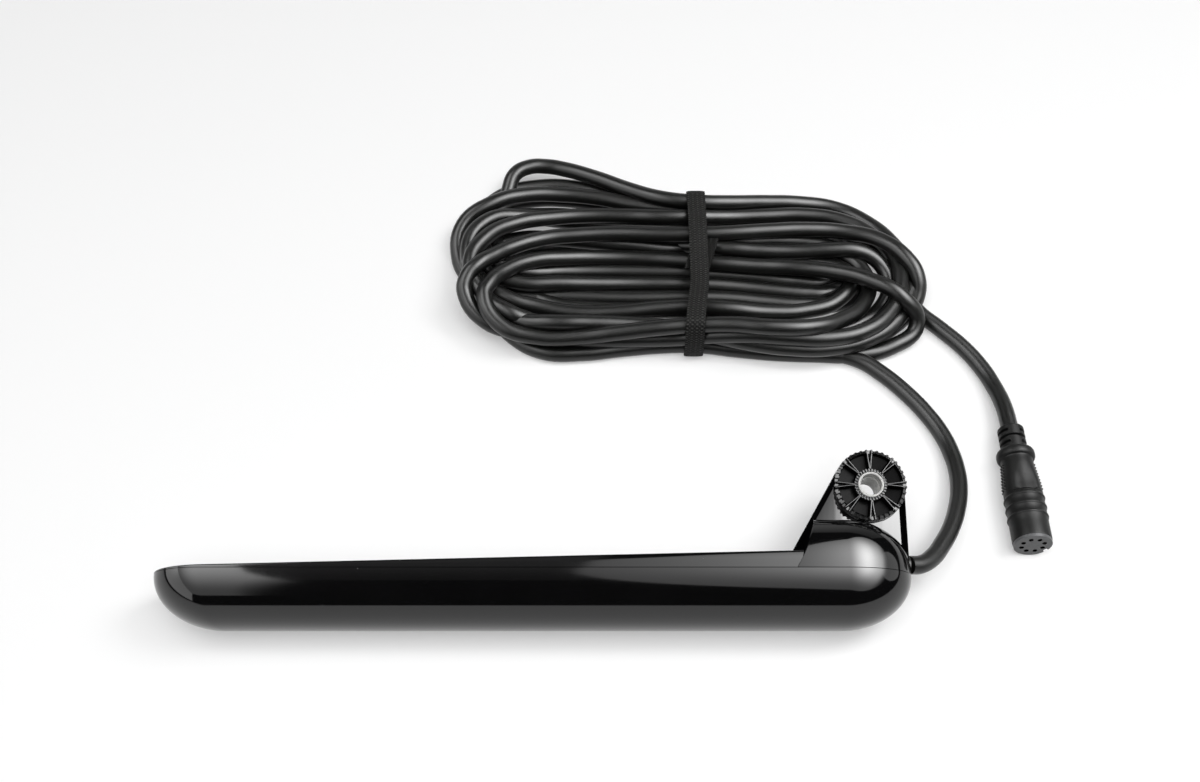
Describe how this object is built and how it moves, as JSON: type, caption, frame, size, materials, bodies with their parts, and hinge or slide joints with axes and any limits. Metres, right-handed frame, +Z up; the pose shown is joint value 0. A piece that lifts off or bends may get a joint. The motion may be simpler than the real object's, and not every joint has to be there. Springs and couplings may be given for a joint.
{
  "type": "sonar transducer",
  "caption": "Long black sonar transducer with a ratcheted pivot ear on its nose, lying beside its cable, which is tied in a hank and ends in a round plug.",
  "frame": {"origin": "on the surface, under the middle of the transducer's own box, without its cable", "axes": "+X along the transducer towards its nose and cable exit, +Y from its sensor face towards its ear, +Z up from the surface it lies on"},
  "size_m": [0.3216, 0.2281, 0.0401],
  "materials": {
    "shell": "gloss",
    "ratchet": "satin",
    "sleeve": "satin",
    "carrier": "matte",
    "piezo": "matte",
    "foam": "matte",
    "bond": "gloss",
    "sensor": "satin",
    "board": "satin",
    "copper": "satin",
    "capacitor": "matte",
    "wire": "satin",
    "core": "satin",
    "jacket": "satin",
    "grommet": "matte",
    "clamp": "matte",
    "screw": "satin",
    "strap": "matte",
    "plug": "satin",
    "insert": "matte",
    "contact": "satin"
  },
  "bodies": {
    "root": {"lower_housing": "shell", "top_cover": "shell", "ratchet_port": "ratchet", "ratchet_starboard": "ratchet", "pivot_sleeve": "sleeve", "element_carrier": "carrier", "down_scan_bar": "piezo", "side_scan_bar_port": "piezo", "side_scan_bar_starboard": "piezo", "down_scan_backing": "foam", "side_scan_backing_port": "foam", "side_scan_backing_starboard": "foam", "chirp_element": "piezo", "chirp_cup": "foam", "chirp_bond_pad": "bond", "thermistor": "sensor", "terminal_board": "board", "matching_coils": "copper", "board_capacitors": "capacitor", "element_leads": "wire", "core_wires": "core", "cable_tail": "jacket", "cable_grommet": "grommet", "cable_saddle": "clamp", "cable_clamp": "clamp", "clamp_screws": "screw", "lead_cable": "jacket", "cable_hank": "jacket", "plug_cable": "jacket", "hank_strap": "strap", "plug_overmould": "plug", "plug_barrel": "plug", "plug_insert": "insert", "plug_contacts": "contact"}
  },
  "joints": []
}
